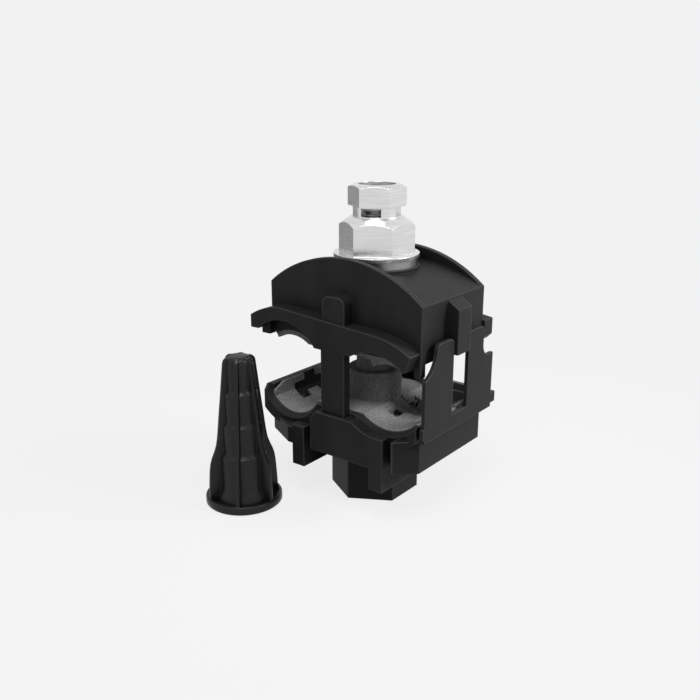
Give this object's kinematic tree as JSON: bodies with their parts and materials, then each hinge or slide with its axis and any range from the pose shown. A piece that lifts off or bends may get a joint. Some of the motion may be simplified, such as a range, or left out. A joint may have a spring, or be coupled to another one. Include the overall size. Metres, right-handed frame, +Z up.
{
  "type": "insulation piercing connector",
  "caption": "Insulation piercing connector: two moulded jaws with rubber gaskets and toothed blades, drawn onto a main and a tap cable by a bolt with a shear-head nut, and a loose end cap.",
  "frame": {"origin": "on the bolt axis, at the bottom of the hexagonal boss", "axes": "+Z up along the bolt, X across the two channels with the main channel at -X and the tap channel at +X, Y along the cables with the front at -Y"},
  "size_m": [0.0593, 0.0589, 0.0829],
  "materials": {
    "jaw_plastic": "black glass-filled nylon, satin, fine moulded grain",
    "gasket_rubber": "grey elastomer with a fine granular surface",
    "cap_rubber": "black moulded elastomer, satin",
    "tinned_blade": "tinned copper, stamped",
    "zinc_steel": "zinc-plated steel",
    "washer_steel": "zinc-plated steel, fine turned edge",
    "nut_alloy": "bright turned aluminium alloy with fine horizontal brush lines"
  },
  "bodies": {
    "lower_jaw": {"lower_body": "jaw_plastic", "lower_gasket": "gasket_rubber", "lower_blade_front": "tinned_blade", "lower_blade_rear": "tinned_blade", "bolt": "zinc_steel", "end_cap": "cap_rubber"},
    "upper_jaw": {"upper_body": "jaw_plastic", "upper_gasket": "gasket_rubber", "upper_blade_front": "tinned_blade", "upper_blade_rear": "tinned_blade", "washer": "washer_steel"},
    "nut": {"shear_nut": "nut_alloy"}
  },
  "joints": [
    {"name": "jaw_close", "type": "slide", "parent": "lower_jaw", "child": "upper_jaw", "axis": [0, 0, 1], "range_m": [-0.01125, 0]},
    {"name": "nut_turn", "type": "hinge", "parent": "upper_jaw", "child": "nut", "pos_m": [0, 0, 0], "axis": [0, 0, 1], "range_deg": [-3240, 0]}
  ],
  "couplings": [
    {"joint": "jaw_close", "follows": "nut_turn", "m_per_rad": 0.00019894}
  ]
}
